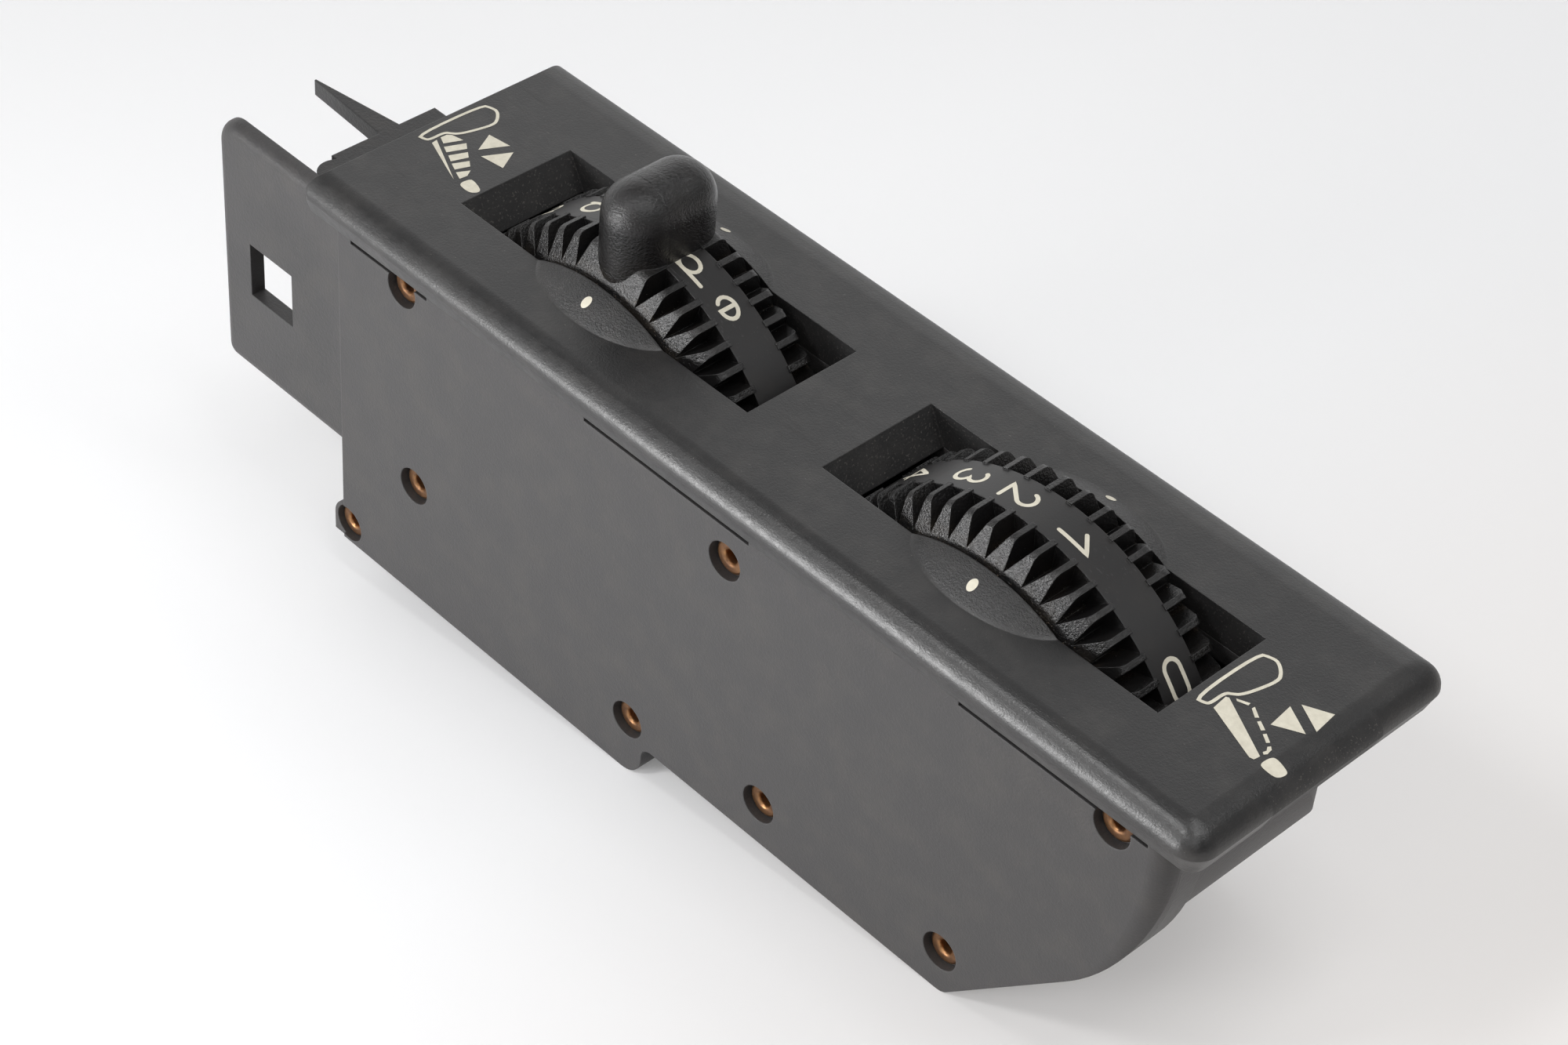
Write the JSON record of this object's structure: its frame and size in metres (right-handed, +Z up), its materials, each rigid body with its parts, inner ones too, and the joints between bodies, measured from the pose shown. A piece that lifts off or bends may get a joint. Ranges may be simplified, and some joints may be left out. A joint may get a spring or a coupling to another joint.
{
  "type": "vehicle seat adjustment switch",
  "caption": "Flat black seat adjustment switch: long bezel with a lettered lever wheel and a numbered thumb wheel over a riveted body with a latch tab.",
  "frame": {"origin": "middle of the whole object's length and width, at the underside of the foot", "axes": "+X along the bezel from the latch tab to the round nose, +Y from the riveted cover to the far side, +Z up out of the bezel"},
  "size_m": [0.1482, 0.0362, 0.062],
  "materials": {
    "bezel_plastic": "satin black with a fine grain",
    "cover_plastic": "matt dark grey",
    "frame_plastic": "satin black",
    "seal_rubber": "soft black",
    "shell_plastic": "matt black",
    "block_plastic": "satin black",
    "rivet_metal": "dull copper",
    "axle_steel": "ground",
    "washer_steel": "plain",
    "manifold_plastic": "natural",
    "gland_rubber": "soft black",
    "cap_brass": "plain",
    "nipple_brass": "turned",
    "ball_steel": "polished",
    "spring_steel": "drawn wire",
    "wheel_plastic": "semi-gloss black",
    "cam_plastic": "natural",
    "plunger_plastic": "natural"
  },
  "bodies": {
    "housing": {"bezel": "bezel_plastic", "near_cover": "cover_plastic", "latch_frame": "frame_plastic", "body_seal": "seal_rubber", "main_shell": "shell_plastic", "end_block": "block_plastic", "tubular_rivets": "rivet_metal", "selector_axle": "axle_steel", "pressure_axle": "axle_steel", "thrust_washers": "washer_steel", "valve_manifold": "manifold_plastic", "plunger_seals": "gland_rubber", "seal_caps": "cap_brass", "hose_nipples": "nipple_brass", "selector_detent_ball": "ball_steel", "selector_detent_spring": "spring_steel", "selector_plunger_spring": "spring_steel", "pressure_plunger_spring": "spring_steel"},
    "selector": {"selector_wheel": "wheel_plastic", "selector_cam": "cam_plastic"},
    "pressure": {"pressure_wheel": "wheel_plastic", "pressure_cam": "cam_plastic"},
    "selector_valve": {"selector_plunger": "plunger_plastic"},
    "pressure_valve": {"pressure_plunger": "plunger_plastic"}
  },
  "joints": [
    {"name": "selector_turn", "type": "hinge", "parent": "housing", "child": "selector", "pos_m": [-0.01685, 0, 0.03], "axis": [0, 1, 0], "range_deg": [-31.5, 31.5]},
    {"name": "pressure_turn", "type": "hinge", "parent": "housing", "child": "pressure", "pos_m": [0.03775, 0, 0.03], "axis": [0, 1, 0], "range_deg": [-50, 38]},
    {"name": "selector_valve_slide", "type": "slide", "parent": "housing", "child": "selector_valve", "axis": [0, 0, 1], "range_m": [-0.0009, 0.0009], "deforming": ["selector_plunger_spring"]},
    {"name": "pressure_valve_slide", "type": "slide", "parent": "housing", "child": "pressure_valve", "axis": [0, 0, 1], "range_m": [-0.0011, 0.0014], "deforming": ["pressure_plunger_spring"]}
  ],
  "couplings": [
    {"joint": "selector_valve_slide", "follows": "selector_turn", "m_per_rad": -0.0016},
    {"joint": "pressure_valve_slide", "follows": "pressure_turn", "m_per_rad": -0.0016}
  ]
}
